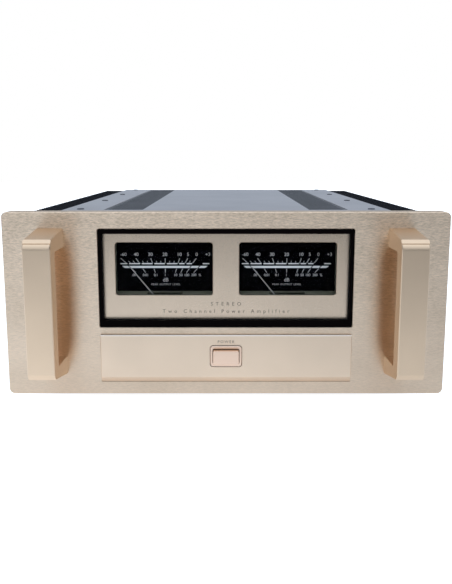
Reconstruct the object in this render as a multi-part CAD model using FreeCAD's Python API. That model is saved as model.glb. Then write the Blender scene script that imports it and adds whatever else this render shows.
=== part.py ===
"""Stereo power amplifier with two level meters, side heatsinks and front handles.

Working frame, in millimetres: x to the right, y from the front panel's face to the rear, z up from
the surface that the feet stand on. export() moves every piece to the row frame, whose origin is the
centre of the whole amplifier's footprint.
"""

import FreeCAD
import Part

import math
import os

V = FreeCAD.Vector

# ---------------------------------------------------------------- driving dimensions
PANEL_WIDTH = 482.0
PANEL_HEIGHT = 203.0
PANEL_THICKNESS = 18.0
PANEL_BOTTOM = 13.5
PANEL_TOP = PANEL_BOTTOM + PANEL_HEIGHT
PANEL_CORNER = 6.0
EDGE_CHAMFER = 1.0

CHASSIS_HALF = 182.0            # half width of the cover, bottom plate and rear panel
FLOOR_Z = 18.0                  # underside of the bottom plate, top of the feet
SHEET = 3.0                     # cover, bottom plate and inner front plate
DECK_Z = FLOOR_Z + SHEET
FOOT_SEAT = 10.0                # where the head of a foot's screw bears
COVER_Z = PANEL_TOP - SHEET
PLATE_BACK = PANEL_THICKNESS + SHEET
REAR_INNER = 466.0
REAR_SHEET = 4.0
REAR_FACE = REAR_INNER + REAR_SHEET

HANDLE_REACH = 50.0             # how far the handles stand in front of the panel
HANDLE_INNER, HANDLE_OUTER = 175.2, 203.4
HANDLE_CENTRE_Z = PANEL_TOP - 99.0
HANDLE_HALF_HEIGHT = 81.5
GRIP_DEPTH = 33.5
GRIP_HALF_HEIGHT = 60.8

SINK_BASE = 8.0
SINK_INNER = CHASSIS_HALF - SINK_BASE
SINK_OUTER = 217.0
FIN_TOP = PANEL_TOP - 1.8
FIN_COUNT = 50
FIN_THICKNESS = 2.5

WINDOW_HALF = 137.9
WINDOW_TOP, WINDOW_BOTTOM = PANEL_TOP - 18.5, PANEL_TOP - 126.9
LIP_HALF = 133.8
LIP_TOP, LIP_BOTTOM = PANEL_TOP - 23.7, PANEL_TOP - 118.8
SEAT_HALF = 135.6
SEAT_TOP, SEAT_BOTTOM = PANEL_TOP - 22.5, PANEL_TOP - 120.0
LIP_DEPTH, GLASS_BACK = 2.0, 5.0
FASCIA_FRONT, FASCIA_BACK = 6.5, 9.0

OPENING_X = 67.7                # centre of each opening in the fascia
METER_X = 69.0                  # centre of each meter's dial and needle
METER_OPEN_HALF = 53.2
METER_OPEN_TOP, METER_OPEN_BOTTOM = PANEL_TOP - 33.9, PANEL_TOP - 92.6
SHELF_TOP = PANEL_TOP - 93.4      # floor of the meter's front room
SHELF_THICKNESS = 1.8
METER_CASE_HALF = 57.0
METER_CASE_TOP = PANEL_TOP - 31.0
METER_CASE_BACK = 62.0
CASE_WALL = 2.0
DIAL_FRONT = 33.3
DIAL_THICKNESS = 1.0
PIVOT_Z = PANEL_TOP - 113.7
NEEDLE_Y = 30.0
NEEDLE_LENGTH = 63.5
NEEDLE_REST_DEG = -39.0         # leaning left of upright, seen from the front

SUB_HALF = 137.3
SUB_TOP, SUB_BOTTOM = PANEL_TOP - 134.7, PANEL_TOP - 188.3
SUB_PROUD, SUB_SUNK = 5.0, 1.5
SUB_BEVEL = 6.5
BUTTON_Z = PANEL_TOP - 157.9
BUTTON_HALF_WIDTH, BUTTON_HALF_HEIGHT = 14.1, 7.7
BUTTON_FRONT = -12.0
BUTTON_BACK = 13.0
BUTTON_TRAVEL = 4.0
BEZEL_HALF_WIDTH, BEZEL_HALF_HEIGHT = 17.0, 11.7
BEZEL_PROUD = 0.6
BEZEL_GAP = 0.7
ROD_RADIUS = 2.5
SWITCH_FRONT = 74.0
ROD_END = SWITCH_FRONT + 6.0

VENT_INNER, VENT_OUTER = 92.5, 136.0
VENT_FRONT, VENT_BACK = 27.5, 456.0
COVER_SCREW_X = 164.0
COVER_SCREW_Y = [37.0, 177.0, 317.0, 457.0]
COVER_SCREW_HEAD = 0.9           # height of the low heads above the cover

POST_Z = 75.0
POST_X = [-135.0, -105.0, 105.0, 135.0]
POST_NAMES = ["left_minus", "left_plus", "right_plus", "right_minus"]
POST_STUD_END = REAR_FACE + 25.0
POST_BASE_END = REAR_FACE + 7.0
POST_WASHER = 2.0
POST_CAP_END = REAR_FACE + 31.0
BANANA_RADIUS = 2.05
CAP_GRIP_RADIUS = 9.0
CAP_RIDGES = 18

RCA_X, RCA_Z = 120.0, 150.0
RCA_RADIUS = 4.15

TORUS_Y, TORUS_RADIUS, TORUS_HEIGHT = 200.0, 82.0, 78.0
CAP_RADIUS, CAP_HEIGHT = 32.0, 112.0
CAP_PLACES = [(-38.0, 325.0), (38.0, 325.0), (-38.0, 395.0), (38.0, 395.0)]

REAR_REACH = POST_CAP_END
ORIGIN_SHIFT = V(0, (HANDLE_REACH - REAR_REACH) / 2, 0)


# ---------------------------------------------------------------- building blocks
def box(x0, x1, y0, y1, z0, z1):
    return Part.makeBox(x1 - x0, y1 - y0, z1 - z0, V(x0, y0, z0))


def rod(x, z, y0, y1, radius):
    """A cylinder along y."""
    return Part.makeCylinder(radius, y1 - y0, V(x, y0, z), V(0, 1, 0))


def pillar(x, y, z0, z1, radius):
    """A cylinder along z."""
    return Part.makeCylinder(radius, z1 - z0, V(x, y, z0), V(0, 0, 1))


def slab(x0, x1, z0, z1, y0, y1, radius):
    """A plate facing the front, with rounded corners."""
    block = box(x0, x1, y0, y1, z0, z1)
    corners = [e for e in block.Edges if abs(e.BoundBox.YLength - (y1 - y0)) < 1e-6]
    return block.makeFillet(radius, corners)


def fused(*shapes):
    whole = shapes[0]
    for shape in shapes[1:]:
        whole = whole.fuse(shape)
    return whole.removeSplitter()


def cut(shape, *tools):
    for tool in tools:
        shape = shape.cut(tool)
    return shape


def mirrored(shape):
    return shape.mirror(V(0, 0, 0), V(1, 0, 0))


def edges_at_front(shape, y, half_width=1e9):
    """Edges that lie in the plane y, no wider than half_width either side of the middle."""
    found = []
    for edge in shape.Edges:
        b = edge.BoundBox
        inside = max(abs(b.XMin), abs(b.XMax)) <= half_width
        if inside and abs(b.YMin - y) < 1e-6 and abs(b.YMax - y) < 1e-6:
            found.append(edge)
    return found


def prism_x(points, x0, x1):
    """Extrudes a closed outline of (y, z) points from x0 to x1."""
    corners = [V(x0, y, z) for y, z in points]
    face = Part.Face(Part.makePolygon(corners + corners[:1]))
    return face.extrude(V(x1 - x0, 0, 0))


def export(name, *solids):
    """Writes one node from its separate solids, in the row frame."""
    moved = []
    for solid in solids:
        copy = solid.copy()
        copy.translate(ORIGIN_SHIFT)
        moved.append(copy)
    shape = moved[0] if len(moved) == 1 else Part.makeCompound(moved)
    if not shape.isValid():
        print("not valid:", name)
    shape.exportStep(os.path.join("parts", name + ".step"))


# ---------------------------------------------------------------- front
def front_panel():
    half = PANEL_WIDTH / 2
    panel = slab(-half, half, PANEL_BOTTOM, PANEL_TOP, 0, PANEL_THICKNESS, PANEL_CORNER)
    panel = panel.makeChamfer(EDGE_CHAMFER, edges_at_front(panel, 0))
    window = slab(-WINDOW_HALF, WINDOW_HALF, WINDOW_BOTTOM, WINDOW_TOP, -1, PANEL_THICKNESS + 1, 1.5)
    panel = panel.cut(window)
    gap = 0.5
    pocket = box(-SUB_HALF - gap, SUB_HALF + gap, -1, SUB_SUNK, SUB_BOTTOM - gap, SUB_TOP + gap)
    button_hole = button_room(0, PANEL_THICKNESS + 1)
    panel = cut(panel, pocket, button_hole)
    for x, z in handle_screw_places():
        panel = cut(
            panel,
            rod(x, z, -1, PANEL_THICKNESS + 1, 3.2),
            rod(x, z, 11.5, PANEL_THICKNESS + 1, 5.6),
        )
    for x, z in front_screw_places():
        panel = cut(panel, rod(x, z, 9, PANEL_THICKNESS + 1, 2.0))
    rim = [e for e in edges_at_front(panel, 0, WINDOW_HALF + 0.01) if e.BoundBox.ZMin > SUB_TOP + 2]
    return panel.makeChamfer(1.2, rim)


def window_frame():
    gap = 0.2
    frame = slab(
        -WINDOW_HALF + gap, WINDOW_HALF - gap, WINDOW_BOTTOM + gap, WINDOW_TOP - gap,
        0.3, PANEL_THICKNESS, 1.3,
    )
    lip = slab(-LIP_HALF, LIP_HALF, LIP_BOTTOM, LIP_TOP, 0, PANEL_THICKNESS + 1, 0.8)
    seat = box(-SEAT_HALF, SEAT_HALF, LIP_DEPTH, PANEL_THICKNESS + 1, SEAT_BOTTOM, SEAT_TOP)
    return cut(frame, lip, seat)


def window_glass():
    gap = 0.1
    return box(
        -SEAT_HALF + gap, SEAT_HALF - gap, LIP_DEPTH, GLASS_BACK, SEAT_BOTTOM + gap, SEAT_TOP - gap
    )


def window_gasket():
    gap = 0.1
    ring = box(
        -SEAT_HALF + gap, SEAT_HALF - gap, GLASS_BACK, FASCIA_FRONT, SEAT_BOTTOM + gap, SEAT_TOP - gap
    )
    return ring.cut(box(-LIP_HALF, LIP_HALF, 0, FASCIA_FRONT + 1, LIP_BOTTOM, LIP_TOP))


def meter_fascia():
    gap = 0.1
    plate = box(
        -SEAT_HALF + gap, SEAT_HALF - gap, FASCIA_FRONT, FASCIA_BACK, SEAT_BOTTOM + gap, SEAT_TOP - gap
    )
    for x in (-OPENING_X, OPENING_X):
        opening = slab(
            x - METER_OPEN_HALF, x + METER_OPEN_HALF, METER_OPEN_BOTTOM, METER_OPEN_TOP,
            FASCIA_FRONT - 1, FASCIA_BACK + 1, 3.2,
        )
        plate = plate.cut(opening)
    rims = edges_at_front(plate, FASCIA_FRONT, OPENING_X + METER_OPEN_HALF + 0.01)
    return plate.makeChamfer(0.6, rims)


def sub_panel():
    outline = [
        (SUB_SUNK, SUB_TOP),
        (-SUB_PROUD, SUB_TOP),
        (-SUB_PROUD, SUB_BOTTOM + SUB_BEVEL),
        (0, SUB_BOTTOM),
        (SUB_SUNK, SUB_BOTTOM),
    ]
    plate = prism_x(outline, -SUB_HALF, SUB_HALF)
    front = edges_at_front(plate, -SUB_PROUD)
    plate = plate.makeChamfer(0.5, front)
    half_width, half_height = BEZEL_HALF_WIDTH + BEZEL_GAP, BEZEL_HALF_HEIGHT + BEZEL_GAP
    hole = slab(
        -half_width, half_width, BUTTON_Z - half_height, BUTTON_Z + half_height,
        -SUB_PROUD - 1, SUB_SUNK + 1, 3.7,
    )
    return plate.cut(hole)


def power_bezel():
    """A raised ring round the button, standing on the floor of the front panel's pocket."""
    front = -SUB_PROUD - BEZEL_PROUD
    ring = slab(
        -BEZEL_HALF_WIDTH, BEZEL_HALF_WIDTH, BUTTON_Z - BEZEL_HALF_HEIGHT, BUTTON_Z + BEZEL_HALF_HEIGHT,
        front, SUB_SUNK, 3,
    )
    ring = ring.makeFillet(0.5, edges_at_front(ring, front))
    return ring.cut(button_room(front - 1, SUB_SUNK + 1))


def button_room(y0, y1):
    """The button's hole, with its working gap."""
    gap = 0.75
    half_width, half_height = BUTTON_HALF_WIDTH + gap, BUTTON_HALF_HEIGHT + gap
    return slab(-half_width, half_width, BUTTON_Z - half_height, BUTTON_Z + half_height, y0, y1, 2)


def power_button():
    button = slab(
        -BUTTON_HALF_WIDTH, BUTTON_HALF_WIDTH,
        BUTTON_Z - BUTTON_HALF_HEIGHT, BUTTON_Z + BUTTON_HALF_HEIGHT,
        BUTTON_FRONT, BUTTON_BACK, 1.3,
    )
    return button.makeFillet(0.9, edges_at_front(button, BUTTON_FRONT))


def power_pushrod():
    shaft = rod(0, BUTTON_Z, BUTTON_BACK, ROD_END, ROD_RADIUS)
    collar = rod(0, BUTTON_Z, BUTTON_BACK, BUTTON_BACK + 3, 5)
    return fused(shaft, collar)


def power_switch():
    body = box(-16, 16, SWITCH_FRONT, SWITCH_FRONT + 34, BUTTON_Z - 14, BUTTON_Z + 14)
    body = body.cut(rod(0, BUTTON_Z, SWITCH_FRONT - 1, ROD_END + BUTTON_TRAVEL + 6, ROD_RADIUS + 0.3))
    y0, y1 = SWITCH_FRONT + 4, SWITCH_FRONT + 30
    bracket = fused(
        box(-20, 20, y0, y1, DECK_Z, DECK_Z + 2),
        box(-12, 12, y0, y1, DECK_Z + 2, BUTTON_Z - 14),
    )
    blades = [
        box(x - 0.4, x + 0.4, SWITCH_FRONT + 34, SWITCH_FRONT + 44, BUTTON_Z - 3, BUTTON_Z + 3)
        for x in (-10, -4, 4, 10)
    ]
    return [body, bracket] + blades


def handle():
    """The right-hand handle: a milled bar with sloping arms, a bevel, a fine groove and a rounded brow."""
    z = HANDLE_CENTRE_Z
    half = HANDLE_HALF_HEIGHT
    front, bevel = -HANDLE_REACH, -HANDLE_REACH + 5.5
    groove_top, groove_low, brow_end = half - 10.0, half - 10.9, half - 17.2
    foot_end, foot_bevel, foot_root = -half + 17.0, -half + 10.6, -half + 0.9
    outline = [
        (0, GRIP_HALF_HEIGHT), (0, half), (bevel, half - 6.3),
        (front + 2.7, groove_top), (front + 3.0, groove_top - 0.5), (front + 2.3, groove_low),
    ]
    after = [
        (front, foot_end), (front + 4.0, foot_bevel), (0, foot_root), (0, -GRIP_HALF_HEIGHT),
        (-GRIP_DEPTH, -GRIP_HALF_HEIGHT), (-GRIP_DEPTH, GRIP_HALF_HEIGHT), (0, GRIP_HALF_HEIGHT),
    ]
    first = [V(HANDLE_INNER, y, z + h) for y, h in outline]
    brow_start, brow_finish = first[-1], V(HANDLE_INNER, front, z + brow_end)
    second = [brow_finish] + [V(HANDLE_INNER, y, z + h) for y, h in after]
    brow_middle = V(HANDLE_INNER, front + 0.62, z + half - 13.6)
    edges = Part.makePolygon(first).Edges
    edges.append(Part.Arc(brow_start, brow_middle, brow_finish).toShape())
    edges += Part.makePolygon(second).Edges
    bar = Part.Face(Part.Wire(edges)).extrude(V(HANDLE_OUTER - HANDLE_INNER, 0, 0))
    corners = []
    for edge in bar.Edges:
        b = edge.BoundBox
        if b.XLength > 1 and abs(b.YMin + GRIP_DEPTH) < 0.01:
            corners.append(edge)
    bar = bar.makeFillet(4.0, corners)
    bar = bar.makeChamfer(0.8, handle_rims(bar))
    for x, z in handle_screw_places():
        if x > 0:
            bar = bar.cut(rod(x, z, -15, 1, 3.05))
    return bar


def handle_rims(bar):
    """The long edges of the front face, the arms and the grip, on both sides of the bar."""
    rims = []
    for edge in bar.Edges:
        b = edge.BoundBox
        if b.XLength < 1e-6 and b.YMin < -1 and b.DiagonalLength > 20:
            rims.append(edge)
    return rims


def handle_screw_places():
    x = (HANDLE_INNER + HANDLE_OUTER) / 2
    reach = (HANDLE_HALF_HEIGHT + GRIP_HALF_HEIGHT) / 2
    return [(s * x, HANDLE_CENTRE_Z + t * reach) for s in (-1, 1) for t in (-1, 1)]


def front_screw_places():
    return [(s * 160.0, z) for s in (-1, 1) for z in (34.0, 120.0, 196.0)]


def cap_screw(x, z, y_tip, y_seat, radius, head_radius, head_depth):
    """A socket-head screw along y whose head is at the rear."""
    shank = rod(x, z, y_tip, y_seat, radius)
    head = rod(x, z, y_seat, y_seat + head_depth, head_radius)
    socket = rod(x, z, y_seat + head_depth * 0.45, y_seat + head_depth + 1, head_radius * 0.5)
    return fused(shank, head).cut(socket)


# ---------------------------------------------------------------- chassis
def front_chassis_plate():
    plate = box(
        -CHASSIS_HALF, CHASSIS_HALF, PANEL_THICKNESS, PLATE_BACK, FLOOR_Z, COVER_Z
    )
    window = box(-139, 139, 0, 40, PANEL_TOP - 137, PANEL_TOP - 17)
    plate = cut(plate, window, rod(0, BUTTON_Z, 0, 40, 9))
    for x, z in front_screw_places():
        plate = plate.cut(rod(x, z, 0, 40, 2.2))
    return plate


def bottom_plate():
    plate = box(-CHASSIS_HALF, CHASSIS_HALF, PLATE_BACK, REAR_INNER, FLOOR_Z, DECK_Z)
    slots = []
    for row in (-1, 1):
        for i in range(24):
            y = 95 + i * 12
            slots.append(box(row * 128 - 22, row * 128 + 22, y, y + 4, FLOOR_Z - 1, DECK_Z + 1))
    plate = plate.cut(Part.makeCompound(slots))
    for x, y in foot_places():
        plate = plate.cut(pillar(x, y, FLOOR_Z - 1, DECK_Z + 1, 2.7))
    return plate.cut(pillar(0, TORUS_Y, FLOOR_Z - 1, DECK_Z + 1, 4.2))


def rear_panel():
    plate = box(-CHASSIS_HALF, CHASSIS_HALF, REAR_INNER, REAR_FACE, FLOOR_Z, COVER_Z)
    holes = [rod(x, POST_Z, 400, 500, 4.6) for x in POST_X]
    holes += [rod(s * RCA_X, RCA_Z, 400, 500, 5.2) for s in (-1, 1)]
    holes += [rod(x, z, 400, 500, 2.2) for x, z in rear_screw_places()]
    holes.append(box(-15.5, 15.5, 400, 500, 47.5, 84.5))
    return cut(plate, *holes)


def rear_screw_places():
    return [(s * (SINK_INNER + 4), z) for s in (-1, 1) for z in (34.0, 116.0, 198.0)]


def top_cover():
    front, back = PANEL_THICKNESS + 0.3, REAR_FACE
    cover = box(-CHASSIS_HALF, CHASSIS_HALF, front, back, COVER_Z, PANEL_TOP)
    rims = [
        e for e in cover.Edges
        if e.BoundBox.ZMin > PANEL_TOP - 0.01 and not abs(e.BoundBox.YMax - front) < 0.01
    ]
    cover = cover.makeChamfer(0.6, rims)
    for s in (-1, 1):
        x0, x1 = sorted((s * VENT_INNER, s * VENT_OUTER))
        cover = cover.cut(box(x0, x1, VENT_FRONT, VENT_BACK, COVER_Z - 1, PANEL_TOP + 1))
        for y in COVER_SCREW_Y:
            cover = cover.cut(pillar(s * COVER_SCREW_X, y, COVER_Z - 1, PANEL_TOP + 1, 2.3))
    return cover


def vent_grille():
    """The right-hand grille: a slotted strip that fills the cover's long opening from below."""
    gap, step, slot_half, rim = 0.2, 5.0, 1.5, 2.2
    strip = box(
        VENT_INNER + gap, VENT_OUTER - gap, VENT_FRONT + gap, VENT_BACK - gap,
        COVER_Z - 1.5, PANEL_TOP - 1.0,
    )
    flange = box(
        VENT_INNER - 6, VENT_OUTER + 6, VENT_FRONT - 6, VENT_BACK + 6, COVER_Z - 1.5, COVER_Z
    )
    strip = fused(strip, flange)
    count = int((VENT_BACK - VENT_FRONT - 8) // step)
    first = (VENT_FRONT + VENT_BACK - (count - 1) * step) / 2
    places = [first + i * step for i in range(count)]
    x0, x1 = VENT_INNER + rim, VENT_OUTER - rim
    slots = [box(x0, x1, y - slot_half, y + slot_half, COVER_Z - 3, PANEL_TOP + 1) for y in places]
    return strip.cut(Part.makeCompound(slots))


def cover_rail():
    """The right-hand rail that the cover's screws bite into."""
    rail = box(158, SINK_INNER, PLATE_BACK, REAR_INNER, COVER_Z - 10, COVER_Z)
    for y in COVER_SCREW_Y:
        rail = rail.cut(pillar(COVER_SCREW_X, y, COVER_Z - 11, COVER_Z + 1, 2.05))
    return rail


def cover_screws():
    made = []
    for s in (-1, 1):
        for y in COVER_SCREW_Y:
            x = s * COVER_SCREW_X
            shank = pillar(x, y, COVER_Z - 8, PANEL_TOP, 2.0)
            head = pillar(x, y, PANEL_TOP, PANEL_TOP + COVER_SCREW_HEAD, 4.0)
            rim = [e for e in head.Edges if e.BoundBox.ZMin > PANEL_TOP + COVER_SCREW_HEAD - 0.01]
            head = head.makeFillet(0.6, rim)
            hexagon = [
                V(x + 1.45 * math.cos(a), y + 1.45 * math.sin(a), PANEL_TOP - 0.9)
                for a in [math.radians(60 * k) for k in range(7)]
            ]
            socket = Part.Face(Part.makePolygon(hexagon)).extrude(V(0, 0, 3))
            made.append(fused(shank, head).cut(socket))
    return made


def heatsink():
    """The right-hand heatsink: one extrusion with its fins upright."""
    step = (REAR_INNER - PLATE_BACK - FIN_THICKNESS) / (FIN_COUNT - 1)
    outline = [V(SINK_INNER, PLATE_BACK, DECK_Z)]
    for i in range(FIN_COUNT):
        y = PLATE_BACK + i * step
        tip = y + FIN_THICKNESS
        taper = 0.35
        if i:
            outline.append(V(CHASSIS_HALF, y, DECK_Z))
        outline.append(V(SINK_OUTER, y + (taper if i else 0), DECK_Z))
        outline.append(V(SINK_OUTER, tip - (taper if i < FIN_COUNT - 1 else 0), DECK_Z))
        if i < FIN_COUNT - 1:
            outline.append(V(CHASSIS_HALF, tip, DECK_Z))
    outline.append(V(SINK_INNER, REAR_INNER, DECK_Z))
    sink = Part.Face(Part.makePolygon(outline + outline[:1])).extrude(V(0, 0, FIN_TOP - DECK_Z))
    under_cover = box(SINK_INNER - 1, CHASSIS_HALF + 0.3, 0, REAR_FACE + 1, COVER_Z, PANEL_TOP)
    sink = sink.cut(under_cover)
    for x, z in rear_screw_places():
        if x > 0:
            sink = sink.cut(rod(x, z, REAR_INNER - 14, REAR_INNER + 1, 2.05))
    return sink


def foot_places():
    return [(s * 150.0, y) for s in (-1, 1) for y in (62.0, 424.0)]


def foot(x, y):
    body = Part.makeCone(24, 27, FLOOR_Z - 3, V(x, y, 3), V(0, 0, 1))
    groove = cut(pillar(x, y, 12, 14, 30), pillar(x, y, 11, 15, 24.6))
    bore = pillar(x, y, 2, FLOOR_Z + 1, 2.6)
    return cut(body, groove, bore, pillar(x, y, 2, 4, 20.2), pillar(x, y, 2, FOOT_SEAT, 6.2))


def foot_pad(x, y):
    return cut(pillar(x, y, 0, 4, 20), pillar(x, y, -1, 5, 8))


def chassis_screws():
    made = [cap_screw(x, z, REAR_INNER - 12, REAR_FACE, 2.0, 3.6, 2.6) for x, z in rear_screw_places()]
    made += [cap_screw(x, z, 10, PLATE_BACK, 1.95, 3.6, 2.6) for x, z in front_screw_places()]
    for x, y in foot_places():
        shank = pillar(x, y, FOOT_SEAT - 5, DECK_Z + 4, 2.5)
        head = pillar(x, y, FOOT_SEAT - 5, FOOT_SEAT, 5)
        made.append(fused(shank, head).cut(pillar(x, y, 0, FOOT_SEAT - 2.5, 2.4)))
        made.append(cut(pillar(x, y, DECK_Z, DECK_Z + 4, 5), pillar(x, y, 0, 40, 2.55)))
    return made


# ---------------------------------------------------------------- meters
def meter_case(x):
    top, wall = METER_CASE_TOP, CASE_WALL
    low_front, low_back = PANEL_TOP - 119.4, PANEL_TOP - 134.0
    back = METER_CASE_BACK
    outer = fused(
        box(x - METER_CASE_HALF, x + METER_CASE_HALF, FASCIA_BACK, 22, low_front, top),
        box(x - METER_CASE_HALF, x + METER_CASE_HALF, 21, back, low_back, top),
    )
    inside = METER_CASE_HALF - wall
    room = fused(
        box(x - inside, x + inside, FASCIA_BACK - 1, 30, low_front + wall, top - wall),
        box(x - inside, x + inside, 23, back - wall, low_back + wall, top - wall),
    )
    shell = outer.cut(room)
    shelf = box(x - inside, x + inside, FASCIA_BACK, DIAL_FRONT, SHELF_TOP - SHELF_THICKNESS, SHELF_TOP)
    slot = box(x - 20.3, x + 20.3, 16.5, 32.0, SHELF_TOP - SHELF_THICKNESS - 1, SHELF_TOP + 1)
    return fused(shell, shelf).cut(slot)


def meter_dial(x):
    inside = METER_CASE_HALF - CASE_WALL - 0.2
    return box(
        x - inside, x + inside, DIAL_FRONT, DIAL_FRONT + DIAL_THICKNESS,
        SHELF_TOP - SHELF_THICKNESS, METER_CASE_TOP - CASE_WALL - 0.2,
    )


def meter_movement(x):
    """Pole piece with its core, and the two bearing bridges of the moving coil."""
    y0, y1 = 37.2, 46.8
    ring = rod(x, PIVOT_Z, y0, y1, 13.5).cut(rod(x, PIVOT_Z, y0 - 1, y1 + 1, 11.0))
    core = rod(x, PIVOT_Z, y0, y1, 7.0)
    webs = box(x - 2.5, x + 2.5, y0, y1, PIVOT_Z - 12, PIVOT_Z + 12)
    base = box(x - 8, x + 8, y0, y1, PANEL_TOP - 132.0, PIVOT_Z - 12)
    pole = cut(fused(ring, core, webs, base), rod(x, PIVOT_Z, y0 - 1, y1 + 1, 0.85))
    bridges = []
    for inner, outer in ((y0, 24.5), (y1, 53.5)):
        step = 2.5 if outer > inner else -2.5
        strap = box(x - 17, x + 17, *sorted((outer - step, outer)), PIVOT_Z - 3.5, PIVOT_Z + 3.5)
        legs = [
            box(x + s * 13.5 - 1.4, x + s * 13.5 + 1.4, *sorted((inner, outer - step)),
                PIVOT_Z - 2.0, PIVOT_Z + 2.0)
            for s in (-1, 1)
        ]
        bridges.append(fused(strap, *legs).cut(rod(x, PIVOT_Z, 20, 60, 0.85)))
    return [pole.cut(fused(*bridges))] + bridges


def meter_needle(x):
    """Pointer, counterweight, coil and staff, turned to the rest position."""
    staff = [rod(0, 0, 24.8, 35.5, 0.8), rod(0, 0, 48.5, 53.2, 0.8)]
    boss = rod(0, 0, 28.4, 31.6, 3.0)
    outline = [
        V(-0.9, NEEDLE_Y - 0.25, 2), V(-0.35, NEEDLE_Y - 0.25, NEEDLE_LENGTH),
        V(0.35, NEEDLE_Y - 0.25, NEEDLE_LENGTH), V(0.9, NEEDLE_Y - 0.25, 2),
    ]
    pointer = Part.Face(Part.makePolygon(outline + outline[:1])).extrude(V(0, 0.5, 0))
    tail = box(-0.8, 0.8, NEEDLE_Y - 0.4, NEEDLE_Y + 0.4, -12, -2)
    weight = rod(0, -12, NEEDLE_Y - 1.5, NEEDLE_Y + 1.5, 2.4)
    loop = box(-9.7, 9.7, 34.6, 49.4, -1.5, 1.5).cut(box(-8.2, 8.2, 36.0, 48.0, -2, 2))
    whole = fused(loop, *staff, boss, pointer, tail, weight)
    whole.rotate(V(0, 0, 0), V(0, 1, 0), NEEDLE_REST_DEG)
    whole.translate(V(x, 0, PIVOT_Z))
    return whole


def meter_lamps():
    """Two small light bars under the top wall of each case, hidden by the fascia."""
    top = METER_CASE_TOP - CASE_WALL
    return [
        box(s * METER_X + t * 28 - 9, s * METER_X + t * 28 + 9, 15, 21, top - 1.6, top)
        for s in (-1, 1) for t in (-1, 1)
    ]


def meter_driver_board():
    y = METER_CASE_BACK + 5
    z0, z1 = PANEL_TOP - 118, PANEL_TOP - 48
    solids = [box(-118, 118, y, y + 1.6, z0, z1)]
    for x in (-95, -42, 42, 95):
        for z in (z0 + 8, z1 - 8):
            solids.append(rod(x, z, METER_CASE_BACK, y, 3))
    for x in (-70, -10, 50):
        solids.append(box(x, x + 20, y + 1.6, y + 5, z0 + 30, z0 + 37))
    for x in (-85, -25, 25, 85):
        solids.append(rod(x, z1 - 16, y + 1.6, y + 13, 5))
    solids.append(box(-15, 15, y + 1.6, y + 12, z0 + 4, z0 + 13))
    return solids


# ---------------------------------------------------------------- power supply
def power_transformer():
    """Potted toroidal transformer with rounded shoulders."""
    core = pillar(0, TORUS_Y, DECK_Z, DECK_Z + TORUS_HEIGHT, TORUS_RADIUS)
    core = core.makeFillet(14, [e for e in core.Edges if e.BoundBox.XLength > 50])
    return core.cut(pillar(0, TORUS_Y, 0, 200, 24))


def transformer_clamp():
    top = DECK_Z + TORUS_HEIGHT
    washer = cut(pillar(0, TORUS_Y, top, top + 3, 46), pillar(0, TORUS_Y, 0, 200, 4.2))
    washer = washer.makeFillet(1.2, [e for e in washer.Edges if e.BoundBox.XLength > 50])
    shank = pillar(0, TORUS_Y, FLOOR_Z - 1, top + 3, 4)
    corners = [
        V(8 * math.cos(a), TORUS_Y + 8 * math.sin(a), top + 3)
        for a in [math.radians(60 * k) for k in range(7)]
    ]
    head = Part.Face(Part.makePolygon(corners)).extrude(V(0, 0, 6))
    foot_nut = pillar(0, TORUS_Y, FLOOR_Z - 5, FLOOR_Z, 8)
    return [washer, fused(shank, head, foot_nut)]


def filter_capacitors():
    made = []
    for x, y in CAP_PLACES:
        can = pillar(x, y, DECK_Z, DECK_Z + CAP_HEIGHT, CAP_RADIUS)
        can = can.makeFillet(2.5, [e for e in can.Edges if e.BoundBox.XLength > 50])
        terminals = [
            pillar(x + s * 11, y, DECK_Z + CAP_HEIGHT - 1, DECK_Z + CAP_HEIGHT + 6, 5) for s in (-1, 1)
        ]
        made.append(fused(can, *terminals))
    return made


def capacitor_clamp():
    z = DECK_Z + 48
    plate = slab_flat(-76, 76, 287, 433, z, z + 3, 8)
    for x, y in CAP_PLACES:
        plate = plate.cut(pillar(x, y, z - 1, z + 4, CAP_RADIUS + 0.3))
    legs = [pillar(s * 70, y, DECK_Z, z, 4) for s in (-1, 1) for y in (293, 360, 427)]
    return [plate] + legs


def slab_flat(x0, x1, y0, y1, z0, z1, radius):
    """A level plate with rounded corners."""
    block = box(x0, x1, y0, y1, z0, z1)
    return block.makeFillet(radius, [e for e in block.Edges if abs(e.BoundBox.ZLength - (z1 - z0)) < 1e-6])


def power_supply_board():
    z = DECK_Z + CAP_HEIGHT + 6
    solids = [slab_flat(-80, 80, 286, 432, z, z + 2, 4)]
    for x in (-52, 52):
        solids.append(box(x - 14, x + 14, 350, 378, z + 2, z + 12))
    for i in range(6):
        solids.append(pillar(-60 + 24 * i, 310, z + 2, z + 20, 7))
        solids.append(box(-66 + 24 * i, -54 + 24 * i, 412, 424, z + 2, z + 14))
    for x in (-20, 20):
        solids.append(box(x - 7, x + 7, 287, 299, z + 2, z + 12))
    for x in (-75, 75):
        solids.append(box(x - 5, x + 5, 338, 358, z + 2, z + 12))
    return solids


# ---------------------------------------------------------------- amplifier channels
def amplifier_board():
    """The right-hand channel's board, upright beside its heatsink."""
    x = 150.0
    solids = [box(x, x + 1.6, 110, 372, 64, 184)]
    for y in (120, 241, 362):
        for z in (72, 176):
            solids.append(Part.makeCylinder(3.5, SINK_INNER - x - 1.6, V(x + 1.6, y, z), V(1, 0, 0)))
    for i in range(5):
        y = 140 + 48 * i
        solids.append(Part.makeCylinder(9, 22, V(x - 22, y, 160), V(1, 0, 0)))
        solids.append(box(x - 9, x, y - 6, y + 6, 118, 134))
        solids.append(Part.makeCylinder(5, 12, V(x - 12, y + 20, 96), V(1, 0, 0)))
    return solids


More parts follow.
